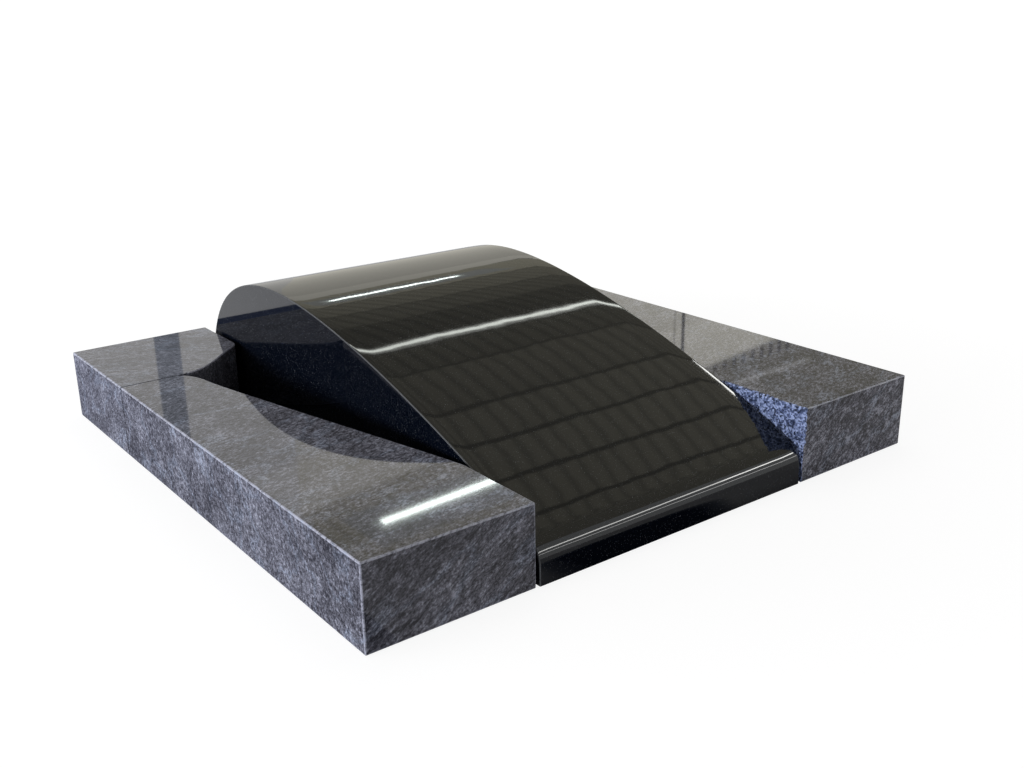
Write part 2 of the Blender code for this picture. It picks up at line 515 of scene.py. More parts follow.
# %% Hang the ceiling with its ribs
STRIPE_SCALE = 2.5
STRIPE_WOBBLE = 0.7
STRIPE_SHARPNESS = 3.0
STRIPE_DEPTH = 0.34
STRIPE_LIFT = 1.10
FADE_START = 5.5
FADE_RUN = 2.5
FADE_SHARE = 0.45


def corrugated_glow(name, colour, strength):
    """A shining sheet with faint stripes along Y, as of corrugated roofing, dimmer far right."""
    material, tree = bare_material(name)
    place = tree.nodes.new("ShaderNodeTexCoord").outputs["Object"]
    wave = add_node(
        tree, "ShaderNodeTexWave", {"bands_direction": "X"},
        Vector=place, Scale=STRIPE_SCALE, Distortion=STRIPE_WOBBLE, Detail=2.0, Detail_Scale=0.6,
    )
    line = math_node(tree, "POWER", wave.outputs["Fac"], STRIPE_SHARPNESS)
    dip = math_node(tree, "MULTIPLY_ADD", line, -STRIPE_DEPTH, STRIPE_LIFT)
    across = tree.nodes.new("ShaderNodeSeparateXYZ")
    tree.links.new(place, across.inputs[0])
    far_right = math_node(
        tree, "MULTIPLY_ADD", across.outputs["X"], 1 / FADE_RUN, -FADE_START / FADE_RUN, clamp=True
    )
    fade = math_node(tree, "MULTIPLY_ADD", far_right, -FADE_SHARE, 1.0)
    power = math_node(tree, "MULTIPLY", math_node(tree, "MULTIPLY", dip, fade), strength)
    only_shine(tree, colour, power)
    return material


def ceiling_sheet(name, start, end, height, material):
    """Level sheet across the ceiling, from one place along Y to another."""
    sheet = quad(
        name,
        [
            (CEILING_LEFT, start, height), (CEILING_RIGHT, start, height),
            (CEILING_RIGHT, end, height), (CEILING_LEFT, end, height),
        ],
        material,
    )
    only_mirrored(sheet)


ceiling_sheet(
    "studio_ceiling_back", CEILING_FIELDS[0][0], CEILING_FIELDS[-1][1], CEILING_HEIGHT + RIB_LIFT,
    glow("ceiling_rib_glow", CEILING_TINT, RIB_GLOW),
)
for number, (start, end, strength) in enumerate(CEILING_FIELDS):
    ceiling_sheet(
        f"studio_ceiling_{number}", start + RIB_WIDTH / 2, end - RIB_WIDTH / 2, CEILING_HEIGHT,
        corrugated_glow(f"ceiling_glow_{number}", CEILING_TINT, strength),
    )
print("ceiling of", len(CEILING_FIELDS), "fields at", CEILING_HEIGHT, "metres")

# %% [markdown]
# ## The wall behind
#
# The long slope leans towards the camera, so it mirrors the ceiling. The level places, which are
# the kerbs' tops and the crest, send the line of sight on at a low angle, and it ends at the wall
# far behind. The wall stands aslant, so its parts are laid out along one line on the floor. Most
# are a little brighter high up. The post, the seam and the bars are narrow sheets just in front
# of it. They show as narrow bands in the polish: the post in the corner stone and the left kerb,
# the seam and the bars in the right kerb.

# %% Stand the pale wall behind
WALL_LEFT = (-6.0, 4.85)
WALL_RIGHT = (14.0, 7.95)
WALL_SLANT = (WALL_RIGHT[1] - WALL_LEFT[1]) / (WALL_RIGHT[0] - WALL_LEFT[0])
WALL_STEP_HEIGHT = 3.05
WALL_HEIGHT = 3.5
HIGH_WALL_START = 6.0
HIGH_WALL_HEIGHT = 3.66
RAIL_HEIGHT = 4.0
NEUTRAL = (1.0, 0.99, 0.95)
WARM = (1.0, 0.97, 0.86)


def wall_sheet(name, start, end, foot, head, colour, strength, front=0.0):
    """Upright sheet along the wall, from one place along X to another."""
    ends = [(x, WALL_LEFT[1] + WALL_SLANT * (x - WALL_LEFT[0]) - front) for x in (start, end)]
    sheet = quad(
        name, [(*ends[0], foot), (*ends[1], foot), (*ends[1], head), (*ends[0], head)],
        glow(name, colour, strength),
    )
    only_mirrored(sheet)


# Each part of the wall: where it starts and ends, its colour, its glow low down and high up
WALL_PARTS = [
    (WALL_LEFT[0], 0.5, NEUTRAL, 0.31, 0.31),
    (0.5, 2.6, NEUTRAL, 0.72, 0.93),
    (2.6, HIGH_WALL_START, WARM, 0.79, 0.94),
    (HIGH_WALL_START, WALL_RIGHT[0], WARM, 0.95, 1.08),
]
for number, (start, end, colour, low_glow, high_glow) in enumerate(WALL_PARTS):
    head = WALL_HEIGHT if start < HIGH_WALL_START else HIGH_WALL_HEIGHT
    wall_sheet(f"studio_wall_low_{number}", start, end, 0.0, WALL_STEP_HEIGHT, colour, low_glow)
    wall_sheet(f"studio_wall_high_{number}", start, end, WALL_STEP_HEIGHT, head, colour, high_glow)
print("wall of", len(WALL_PARTS), "parts, slanting", round(WALL_SLANT, 3), "metres to the metre")

# %% Set the post, the seam and the bars before it
IN_FRONT = 0.03
BAR_COUNT = 11
BAR_START = 7.95
BAR_PITCH = 0.2
BAR_WIDTH = 0.08
BAR_GLOW = 0.12
RAIL_GLOW = 0.40

# Each upright band: its name, where it starts and ends, how high it reaches, its colour and glow
UPRIGHT_BANDS = [
    ("post", 1.51, 1.70, WALL_HEIGHT, (0.75, 0.85, 1.0), 0.30),
    ("seam", 7.70, 7.76, HIGH_WALL_HEIGHT, WARM, 0.15),
    ("seam_light", 7.55, 7.59, HIGH_WALL_HEIGHT, WARM, 0.70),
]
for name, start, end, head, colour, strength in UPRIGHT_BANDS:
    wall_sheet(f"studio_{name}", start, end, 0.0, head, colour, strength, IN_FRONT)

wall_sheet(
    "studio_rail_ground", HIGH_WALL_START, WALL_RIGHT[0], HIGH_WALL_HEIGHT, RAIL_HEIGHT,
    WARM, RAIL_GLOW,
)
for number in range(BAR_COUNT):
    start = BAR_START + BAR_PITCH * number
    wall_sheet(
        f"studio_bar_{number}", start, start + BAR_WIDTH, HIGH_WALL_HEIGHT, RAIL_HEIGHT,
        WARM, BAR_GLOW, IN_FRONT,
    )
print(len(UPRIGHT_BANDS), "upright bands and", BAR_COUNT, "bars before the wall")

# %% [markdown]
# ## The bright tube and strips
#
# The lines of light in the polish tell the eye how the stone curves. The tube shows twice, near
# the crest and on the left kerb's top. The long strip shows across the slope, a thin weak line in
# the right kerb's top, the lamp along the slope's right edge, and three strips in front of the
# plot along the round nose, with a pale field behind them. Real lamps would also throw light, so
# each is a sheet again that only the mirrors see. The soft rim of the tube and of the long strip
# is a wider and weaker sheet just behind each.

# %% Hang the bright tube and strips
COOL_WHITE = (0.90, 1.0, 0.95)


def strip_light(name, start, end, width, colour, strength, upright):
    """A narrow shining strip between two points, lying level or standing on its edge."""
    start = Vector(start)
    end = Vector(end)
    up = Vector((0.0, 0.0, 1.0))
    side = up if upright else (end - start).cross(up).normalized()
    side = side * width / 2
    corners = [start - side, end - side, end + side, start + side]
    strip = quad(name, corners, glow(name, colour, strength))
    only_mirrored(strip)


# Each strip: its name, its two ends, its width, its colour, its strength, and if it is upright
STRIPS = [
    ("tube", (2.77, 5.18, 3.24), (3.97, 5.275, 3.24), 0.080, COOL_WHITE, 14.0, False),
    ("tube_halo", (2.72, 5.18, 3.26), (4.02, 5.28, 3.26), 0.18, COOL_WHITE, 1.2, False),
    ("tube_haze", (2.60, 5.20, 3.28), (4.40, 5.32, 3.28), 0.60, (0.98, 1.0, 0.95), 0.52, False),
    ("strip", (-1.0, 2.87, 3.47), (9.0, 2.87, 3.47), 0.070, (0.96, 1.0, 0.93), 6.0, False),
    ("strip_halo", (-1.0, 2.87, 3.48), (9.0, 2.87, 3.48), 0.17, (0.98, 1.0, 0.92), 1.1, False),
    ("thin_line", (7.70, 6.12, 3.49), (9.0, 6.17, 3.49), 0.055, (1.0, 1.0, 0.97), 0.90, False),
    ("front_field", (7.4, -2.6, 2.0), (1.2, -7.4, 2.0), 4.6, (0.98, 1.0, 1.0), 0.78, True),
    ("front_high", (4.9, -2.1, 1.98), (3.45, -3.6, 1.88), 0.20, (1.0, 1.0, 0.97), 15.0, True),
    ("front_dim", (3.45, -3.6, 1.88), (2.1, -5.0, 1.78), 0.21, (1.0, 1.0, 0.97), 10.0, True),
    ("front_low", (4.9, -2.1, 1.08), (2.1, -5.0, 1.10), 0.10, (1.0, 1.0, 0.99), 6.0, True),
    ("lamp", (4.23, 0.7, 3.3), (4.23, 1.5, 3.3), 0.44, (1.0, 1.0, 0.97), 10.5, False),
]
for name, start, end, width, colour, strength, upright in STRIPS:
    strip_light(f"studio_{name}", start, end, width, colour, strength, upright)
print(len(STRIPS), "strips for the mirrors")

# %% [markdown]
# ## The soft light
#
# What shapes the stones is soft light that has no edges of its own. It comes from a long, low
# opening on the left, slightly blue like a cloudy sky, which lights the outer side most. A weak
# field above and a weak low one in front keep the tops and the front faces from going black. All
# three are area lights that the mirrors don't see, because the sheets above already do that part.
# A dim world fills the rest.

# %% Set the soft lights
def soft_light(name, place, aim, width, height, colour, power):
    """A large area light at a place, turned towards a point, hidden from mirrors."""
    data = bpy.data.lights.new(name, "AREA")
    data.shape = "RECTANGLE"
    data.size = width
    data.size_y = height
    data.color = colour
    data.energy = power
    lamp = bpy.data.objects.new(name, data)
    lamp.location = place
    lamp.rotation_euler = (Vector(aim) - Vector(place)).to_track_quat("-Z", "Y").to_euler()
    lamp.visible_glossy = False
    lamp.visible_camera = False
    bpy.context.scene.collection.objects.link(lamp)


# Each light: its name, its place, its aim, its width and height, its colour and its watts
LIGHTS = [
    ("window_light", (-3.3, 0.5, 0.47), (0.0, 0.3, 0.42), 4.2, 0.9, (0.93, 0.95, 1.0), 175.0),
    ("upper_light", (0.8, 0.6, 3.3), (0.0, 0.0, 0.0), 3.5, 3.5, (1.0, 0.99, 0.96), 38.0),
    ("front_light", (0.6, -3.8, 0.22), (0.0, 0.0, 0.12), 3.0, 0.4, (1.0, 0.98, 0.96), 22.0),
]
for name, place, aim, width, height, colour, power in LIGHTS:
    soft_light(name, place, aim, width, height, colour, power)

# %% Fill the rest with dim air
AIR_COLOUR = (0.98, 0.98, 1.0, 1.0)
AIR_STRENGTH = 0.20

world = bpy.data.worlds.new("studio_air")
world.use_nodes = True
world_shader = world.node_tree.nodes["Background"]
world_shader.inputs["Color"].default_value = AIR_COLOUR
world_shader.inputs["Strength"].default_value = AIR_STRENGTH
bpy.context.scene.world = world
print("air shines", AIR_STRENGTH)

# %% [markdown]
# ## The black granite
#
# The block is a fine-grained black granite with a mirror polish. It is never plain black: grains
# of pale feldspar, half a millimetre wide and less, show through the polish as a faint dust. A
# flat colour would look like plastic, and a photo of the stone would bring its own lamps along.
# So cells of a Voronoi pattern stand for the grains: each cell has random numbers, only the cells
# with a low first number are pale, and each pale grain is smaller than its cell. A few larger
# specks lie among the fine dust, and soft noise makes both come and go.

# %% Scatter pale grains
GRAIN_CELLS = 950.0
GRAIN_SHARE = 0.28
GRAIN_REACH = 0.55
SPECK_CELLS = GRAIN_CELLS * 0.55
SPECK_SHARE = 0.03
SPECK_REACH = 0.45
DRIFT_SCALE = 150.0
DRIFT_GAIN = 1.2
DRIFT_LOSS = 0.1


def grain_dust(tree, place, cells, share, reach):
    """Pale grains on nothing: a share of the cells, each filled to a part of its reach."""
    grains, numbers = random_cells(tree, place, cells)
    chosen = math_node(tree, "LESS_THAN", numbers[0], share)
    size = math_node(tree, "MULTIPLY", numbers[1], reach)
    inside = math_node(tree, "LESS_THAN", grains.outputs["Distance"], size)
    bright = math_node(tree, "MULTIPLY", chosen, inside)
    return math_node(tree, "MULTIPLY", bright, numbers[2])


def drifting_dust(tree, place):
    """Fine dust and larger specks, thicker in some places than in others."""
    fine = grain_dust(tree, place, GRAIN_CELLS, GRAIN_SHARE, GRAIN_REACH)
    coarse = grain_dust(tree, place, SPECK_CELLS, SPECK_SHARE, SPECK_REACH)
    dust = math_node(tree, "MAXIMUM", fine, coarse)
    drift = noise_value(tree, place, DRIFT_SCALE, detail=3.0, roughness=0.6)
    amount = math_node(tree, "MULTIPLY_ADD", drift, DRIFT_GAIN, -DRIFT_LOSS)
    return math_node(tree, "MULTIPLY", dust, amount)


print("pale grains:", GRAIN_SHARE, "of", GRAIN_CELLS, "cells to the metre")

# %% Mix the black granite
BLACK_BODY = (0.0010, 0.0019, 0.0046)
GROUND_BODY = (0.070, 0.073, 0.078)
PALE_GRAIN = (0.165, 0.175, 0.185)
GRANITE_IOR = 1.55
POLISHED = 0.035
BLACK_GROUND = 0.20


def mix_black_granite(name, body, roughness):
    """Black granite: polished, or only ground, which makes it paler and rougher."""
    material, tree, shader = new_material(name)
    place = tree.nodes.new("ShaderNodeTexCoord").outputs["Object"]
    colour = colour_scale(tree, drifting_dust(tree, place), [(0.0, body), (1.0, PALE_GRAIN)])
    tree.links.new(colour, shader.inputs["Base Color"])
    shader.inputs["Roughness"].default_value = roughness
    shader.inputs["IOR"].default_value = GRANITE_IOR
    return material


black_polished = mix_black_granite("black_granite_polished", BLACK_BODY, POLISHED)
black_arris = mix_black_granite("black_granite_arris", GROUND_BODY, BLACK_GROUND)
print("black granite mixed, with a roughness of", POLISHED, "where it is polished")

# %% [markdown]
# ## The blue granite
#
# The kerbs are a blue-grey granite that was pressed while it was hot, so its grains are drawn
# out into short streaks that all lie in one direction. Each stone was sawn from the rock its own
# way, so the streaks run differently on each. The same pattern in three dimensions does all of
# this: first the place in the stone is turned so that its X axis lies along the streaks, then it
# is squeezed along that axis, and noise read there comes out as streaks. On a face that cuts
# across the streaks, only their round ends show, as on the real stone.
#
# Three noises make the stone: fine grains, squeezed a little, longer streaks, squeezed more, and
# broad patches. Thin pale veins run where a fourth one passes through its middle value. The left
# kerb also gets a painted shade near the front left corner of its top, a darker patch that stands
# in for a dimmer reflection there. Each stone has its own contrast.

# %% Draw the streaks and veins
FINE_SQUEEZE = 0.50
FINE_SCALE = 520.0
FINE_WEIGHT = 0.40
STREAK_SQUEEZE = 0.16
STREAK_SCALE = 210.0
STREAK_WEIGHT = 0.40
PATCH_SCALE = 24.0
PATCH_WEIGHT = 0.20
VEIN_SCALE = 13.0
VEIN_WIDTH = 0.035
VEIN_LIFT = 0.035


def streak_place(tree, direction, shift, squeeze):
    """Place in the stone, turned to the streaks and squeezed along them."""
    place = tree.nodes.new("ShaderNodeTexCoord").outputs["Object"]
    turn = Vector(direction).rotation_difference(Vector((1.0, 0.0, 0.0))).to_euler()
    turned = add_node(tree, "ShaderNodeMapping", Vector=place, Rotation=turn, Location=shift)
    squeezed = add_node(
        tree, "ShaderNodeMapping", Vector=turned.outputs[0], Scale=(squeeze, 1.0, 1.0)
    )
    return squeezed.outputs[0]


def granite_value(tree, direction, shift):
    """How pale the stone is at each place, around 0.5, and where its pale veins run."""
    grain_place = streak_place(tree, direction, shift, FINE_SQUEEZE)
    flow_place = streak_place(tree, direction, shift, STREAK_SQUEEZE)
    fine = noise_value(tree, grain_place, FINE_SCALE, detail=2.0, roughness=0.7)
    streak = noise_value(tree, flow_place, STREAK_SCALE, detail=3.0, roughness=0.6)
    patch = noise_value(tree, flow_place, PATCH_SCALE, detail=4.0, roughness=0.6)
    value = math_node(tree, "MULTIPLY", fine, FINE_WEIGHT)
    value = math_node(tree, "MULTIPLY_ADD", streak, STREAK_WEIGHT, value)
    value = math_node(tree, "MULTIPLY_ADD", patch, PATCH_WEIGHT, value)
    fold = noise_value(tree, flow_place, VEIN_SCALE, detail=3.0, roughness=0.5)
    off_vein = math_node(tree, "ABSOLUTE", math_node(tree, "SUBTRACT", fold, 0.5))
    vein = math_node(tree, "MULTIPLY_ADD", off_vein, -1 / VEIN_WIDTH, 1.0, clamp=True)
    return math_node(tree, "MULTIPLY_ADD", vein, VEIN_LIFT, value), vein


print("streaks are drawn out to", round(1 / STREAK_SQUEEZE, 1), "times their width")

# %% Mix the blue granite
BLUE_TONES = [
    (0.38, (0.024, 0.024, 0.029)),
    (0.45, (0.062, 0.061, 0.073)),
    (0.50, (0.106, 0.106, 0.127)),
    (0.55, (0.170, 0.172, 0.209)),
    (0.63, (0.370, 0.378, 0.445)),
]
VEIN_TINT = (0.90, 0.96, 1.0, 1.0)
PAINTED_SHADE_DEPTH = 0.070
PAINTED_SHADE_REACH = (0.16, 0.16, 0.16)


def mix_blue_granite(name, direction, shift, roughness, contrast=1.0, lift=0.0, painted_shade=None):
    """Blue granite: lift makes it paler, and painted_shade is the middle of a painted darker patch.
    """
    material, tree, shader = new_material(name)
    value, vein = granite_value(tree, direction, shift)
    value = math_node(tree, "MULTIPLY_ADD", value, contrast, 0.5 * (1.0 - contrast) + lift)
    # Painted shade: a darker patch around one place, standing in for a dimmer reflection
    if painted_shade is not None:
        shade = nearness(tree, painted_shade, PAINTED_SHADE_REACH, "QUADRATIC_SPHERE")
        value = math_node(tree, "MULTIPLY_ADD", shade, -PAINTED_SHADE_DEPTH, value)
    blend = tree.nodes.new("ShaderNodeMix")
    blend.data_type = "RGBA"
    blend.blend_type = "MULTIPLY"
    fill(tree, blend.inputs["Factor"], vein)
    tree.links.new(colour_scale(tree, value, BLUE_TONES), blend.inputs["A"])
    blend.inputs["B"].default_value = VEIN_TINT
    tree.links.new(blend.outputs["Result"], shader.inputs["Base Color"])
    shader.inputs["Roughness"].default_value = roughness
    shader.inputs["IOR"].default_value = GRANITE_IOR
    return material


print("tones from", BLUE_TONES[0][1], "to", BLUE_TONES[-1][1])

# %% Mix it for each of the three stones
BLUE_GROUND = 0.11
# Painted shade: the left kerb's top is darkened around this place, where its polish shows a dimmer
# reflection
LEFT_PAINTED_SHADE = (-0.47, -0.44, 0.118)

# Each stone: its name, where its streaks point, where in the rock it lay, its contrast, its lift,
# the middle of its painted shade, and how much paler its arris is, partly ground finish and partly
# painted highlight
BLUE_CUTS = [
    ("left", (1.0, 0.35, 0.65), (0.0, 0.0, 0.0), 1.12, 0.0, LEFT_PAINTED_SHADE, 0.115),
    ("corner", (1.0, -0.6, 0.5), (3.1, 0.4, 1.7), 1.0, 0.015, None, 0.11),
    ("right", (0.9, 0.5, 0.6), (7.3, 2.2, 0.6), 1.40, 0.0, None, 0.13),
]
blue_polished = {}
blue_arris = {}
for side, streaks, shift, contrast, lift, painted_shade, arris_paleness_and_highlight in BLUE_CUTS:
    blue_polished[side] = mix_blue_granite(
        f"blue_granite_{side}", streaks, shift, POLISHED, contrast, lift, painted_shade
    )
    # Painted highlight: the arris lift is partly the paler ground finish and partly paints the
    # bright lines along the edges
    blue_arris[side] = mix_blue_granite(
        f"blue_granite_{side}_arris", streaks, shift, BLUE_GROUND, lift=arris_paleness_and_highlight
    )
print("blue granite mixed for", list(blue_polished))

# %% [markdown]
# ## The split face
#
# The face of the right kerb towards the block was left as the stone broke. Broken grains scatter
# the light and keep their own colour, so this face is matt and clearly blue, with dark pits
# between the crystals. Here the crystals are small cells with a tone of their own.

# %% Mix the split granite
CRYSTAL_CELLS = 330.0
CRYSTAL_WEIGHT = 0.55
SHADE_WEIGHT = 0.45
SHADE_SCALE = 120.0
GRIT_SCALE = 900.0
GRIT_HEIGHT = 0.6 * MM
SPLIT_TONES = [
    (0.20, (0.008, 0.011, 0.024)),
    (0.34, (0.045, 0.062, 0.125)),
    (0.50, (0.120, 0.158, 0.300)),
    (0.70, (0.380, 0.460, 0.720)),
]


def mix_split_granite():
    """Matt blue granite with separate crystals and a fine grit."""
    material, tree, shader = new_material("blue_granite_split")
    place = tree.nodes.new("ShaderNodeTexCoord").outputs["Object"]
    numbers = random_cells(tree, place, CRYSTAL_CELLS)[1]
    shade = noise_value(tree, place, SHADE_SCALE, detail=3.0, roughness=0.65)
    tone = math_node(tree, "MULTIPLY", numbers[0], CRYSTAL_WEIGHT)
    tone = math_node(tree, "MULTIPLY_ADD", shade, SHADE_WEIGHT, tone)
    tree.links.new(colour_scale(tree, tone, SPLIT_TONES), shader.inputs["Base Color"])
    shader.inputs["Roughness"].default_value = 0.6
    shader.inputs["IOR"].default_value = 1.50
    grit = noise_value(tree, place, GRIT_SCALE, detail=2.0)
    bump = add_node(tree, "ShaderNodeBump", Height=grit, Strength=0.35, Distance=GRIT_HEIGHT)
    tree.links.new(bump.outputs["Normal"], shader.inputs["Normal"])
    return material


blue_split = mix_split_granite()
print("split granite with", CRYSTAL_CELLS, "crystals to the metre")

# %% [markdown]
# ## The wave block
#
# One block of stone with the side view of a long wave: a low round nose in front, a top that
# rises and levels off at the crest, and a back that rolls down to the ground. It was sawn along
# that outline and polished by hand, which leaves two marks that a plain extrusion lacks. The
# polisher's pad leans over a little near both sides, so the last two or three centimetres roll
# off by less than a millimetre, more at the right, and the top is never quite even. Both are too
# small to see by themselves, and both show at once in the mirror image of a straight lamp.
#
# So the top is laid as a fine grid of points, and each point is moved along its own normal.

# %% Draw the outline of the wave
NOSE_FACE_HEIGHT = 0.024
NOSE_DEPTH = 0.0255
NOSE_TOP_HEIGHT = 0.0645
CREST_SETBACK = 0.708
FRONT_SLOPE = 0.45
TOP_START_HANDLE = 0.202
TOP_CREST_HANDLE = 0.323
BACK_CREST_HANDLE = 0.503
BACK_FOOT_HANDLE = 0.790
NOSE_FACE_HANDLE = 0.55
NOSE_TOP_HANDLE = 0.40
FOOT_STEPS = 5
NOSE_STEPS = 26
TOP_STEPS = 170
BACK_STEPS = 90


def wave_outline(front, back, crest_height):
    """Side view as (distance along Y, height), from the front foot over the crest and down."""
    depth = back - front
    nose_rise = NOSE_TOP_HEIGHT - NOSE_FACE_HEIGHT
    nose_reach = NOSE_TOP_HANDLE * NOSE_DEPTH
    top_run = CREST_SETBACK - NOSE_DEPTH
    back_run = depth - CREST_SETBACK
    points = [Vector((0.0, NOSE_FACE_HEIGHT * step / FOOT_STEPS)) for step in range(FOOT_STEPS + 1)]
    points += curve_points(
        points[-1],
        (0.0, NOSE_FACE_HEIGHT + NOSE_FACE_HANDLE * nose_rise),
        (NOSE_DEPTH - nose_reach, NOSE_TOP_HEIGHT - FRONT_SLOPE * nose_reach),
        (NOSE_DEPTH, NOSE_TOP_HEIGHT),
        NOSE_STEPS,
    )
    start_reach = TOP_START_HANDLE * top_run
    points += curve_points(
        points[-1],
        (NOSE_DEPTH + start_reach, NOSE_TOP_HEIGHT + FRONT_SLOPE * start_reach),
        (CREST_SETBACK - TOP_CREST_HANDLE * top_run, crest_height),
        (CREST_SETBACK, crest_height),
        TOP_STEPS,
    )
    points += curve_points(
        points[-1],
        (CREST_SETBACK + BACK_CREST_HANDLE * back_run, crest_height),
        (depth, BACK_FOOT_HANDLE * crest_height),
        (depth, 0.0),
        BACK_STEPS,
    )
    return [Vector((front + point.x, point.y)) for point in points]


outline = wave_outline(block_low.y, block_high.y, block_high.z)
print("outline of the wave has", len(outline), "points")

# %% [markdown]
# ## The skin of the wave
#
# The grid has a row of points at each point of the outline, and its columns lie closer together
# at both sides, where the roll-off is. At each side the last columns bend down into the arris, a
# quarter circle that has the ground finish. Three layers of smooth noise make the top uneven, the
# widest one the strongest. Sculpting by hand could do the same, but noise can be tuned by its
# numbers until the mirror image of a lamp looks right.

# %% Place the columns of the grid
ARRIS = 1.5 * MM
ARRIS_STEPS = 4
EDGE_CELLS = 14
CELL = 4.5 * MM
LEFT_ROLL_REACH = 18 * MM
LEFT_ROLL_DROP = 0.22 * MM
RIGHT_ROLL_REACH = 35 * MM
RIGHT_ROLL_DROP = 0.60 * MM


def columns_across(low, high):
    """(place across, depth below the skin) of each column, from the left side to the right."""
    corner = []
    for step in range(ARRIS_STEPS + 1):
        angle = math.pi / 2 * step / ARRIS_STEPS
        corner.append((ARRIS * (1 - math.sin(angle)), ARRIS * (1 - math.cos(angle))))
    corner.reverse()
    width = high - low
    reach = RIGHT_ROLL_REACH
    inner = [ARRIS + (reach - ARRIS) * step / EDGE_CELLS for step in range(1, EDGE_CELLS)]
    count = round((width - 2 * reach) / CELL)
    middle = [reach + (width - 2 * reach) * step / count for step in range(count + 1)]
    places = [(low + across, depth) for across, depth in corner]
    places += [(low + across, 0.0) for across in inner + middle]
    places += [(high - across, 0.0) for across in reversed(inner)]
    places += [(high - across, depth) for across, depth in reversed(corner)]
    return places


columns = columns_across(block_low.x, block_high.x)
print(len(columns), "columns across", round(block_high.x - block_low.x, 3), "metres")

# %% Polish with a hand that is not quite even
UNEVEN = 0.070 * MM

# Each layer of noise: its width and length in metres, its share, and which slice of the noise
POLISH_LAYERS = [
    (0.13, 0.075, 1.0, 4.0),
    (0.032, 0.030, 0.40, 9.0),
    (0.011, 0.012, 0.06, 2.0),
]


def polish_error(x, run):
    """How far the polished skin lies below the true one, at a place across and along it."""
    left_lean = max(0.0, 1.0 - (x - block_low.x) / LEFT_ROLL_REACH)
    right_lean = max(0.0, 1.0 - (block_high.x - x) / RIGHT_ROLL_REACH)
    roll = LEFT_ROLL_DROP * left_lean ** 2 + RIGHT_ROLL_DROP * right_lean ** 2
    waves = 0.0
    for width, length, share, layer in POLISH_LAYERS:
        waves += share * (1.0 + noise.noise(Vector((x / width, run / length, layer))))
    return roll + UNEVEN * waves


print("in its middle the skin lies", round(polish_error(0.0, 0.5) / MM, 3), "mm low")

# %% Lay the polished skin over the outline
FOOT_FADE = 8 * MM


def outline_normals(points):
    """Outward direction at each point of the outline, square to its neighbours' line."""
    normals = []
    last = len(points) - 1
    for number in range(last + 1):
        before = points[max(number - 1, 0)]
        after = points[min(number + 1, last)]
        along = (after - before).normalized()
        normals.append(Vector((-along.y, along.x)))
    return normals


def skin_rows(work):
    """Rows of points over the wave, from its front foot to its back foot."""
    normals = outline_normals(outline)
    run = 0.0
    rows = []
    for number, point in enumerate(outline):
        if number:
            run += (point - outline[number - 1]).length
        off_ground = min(1.0, point.y / FOOT_FADE)
        row = []
        for x, depth in columns:
            sunk = depth + off_ground * polish_error(x, run)
            place = point - normals[number] * sunk
            row.append(work.verts.new((x, place.x, max(place.y, 0.0))))
        rows.append(row)
    return rows


def cut_wave_block():
    """The whole block: its skin, its two flat sides and its underside."""
    work = bmesh.new()
    rows = skin_rows(work)
    last_column = len(columns) - 1
    for below, above in zip(rows, rows[1:]):
        for column in range(last_column):
            face = work.faces.new(
                (below[column], below[column + 1], above[column + 1], above[column])
            )
            face.smooth = True
            if column < ARRIS_STEPS or column >= last_column - ARRIS_STEPS:
                face.material_index = 1
    work.faces.new([row[0] for row in rows])
    work.faces.new([row[-1] for row in reversed(rows)])
    work.faces.new([*reversed(rows[0]), *rows[-1]])
    bmesh.ops.recalc_face_normals(work, faces=work.faces)
    return work


def even_shading(stone):
    """Shade the small round edges without bending the shading of the large flat faces."""
    weights = stone.modifiers.new("even shading", "WEIGHTED_NORMAL")
    weights.weight = 90
    weights.keep_sharp = True


wave = make_object("polished_wave_block", cut_wave_block(), [black_polished, black_arris])
even_shading(wave)
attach(wave, "root")
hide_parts("wave_block")
print("wave block has", len(wave.data.polygons), "faces")

# %% [markdown]
# ## The left kerb and the corner stone
#
# Two flat stones with curved inner edges, which together leave a pocket for plants beside the
# block. The pocket could be cut out of two boxes with a Boolean, but then its curve would depend
# on a hidden cutter. It is plainer to draw each stone's outline from above, with the curves in
# it, and to pull the outline up to the kerb's height.
#
# Where the two stones meet, a gap of a millimetre or two is left between them, which shows as a
# thin dark line.

# %% Draw the two outlines
POCKET_START = 0.148
POCKET_THROAT_WIDTH = 0.122
POCKET_TIP_WIDTH = 0.092
KERB_END_LENGTH = 0.052
CORNER_TIP_WIDTH = 0.100
CORNER_SHOULDER_WIDTH = 0.232
CORNER_SHOULDER_DEPTH = 0.091
CORNER_SIDE_START = 0.119
JOINT_GAP = 1.5 * MM
POCKET_BEND_HANDLE = 0.035
POCKET_THROAT_HANDLE = 0.125
POCKET_THROAT_LEAN = 0.062
POCKET_END_HANDLE = 0.5
CORNER_TIP_HANDLE = 0.42
CORNER_SHOULDER_RUN = 0.38
CORNER_SHOULDER_RISE = 0.46
CORNER_ROUND_RUN = 0.68
CORNER_ROUND_RISE = 0.30
CORNER_SIDE_HANDLE = 0.45
BEND_POINTS = 110
THROAT_POINTS = 40
CONCAVE_POINTS = 70
SHOULDER_POINTS = 24


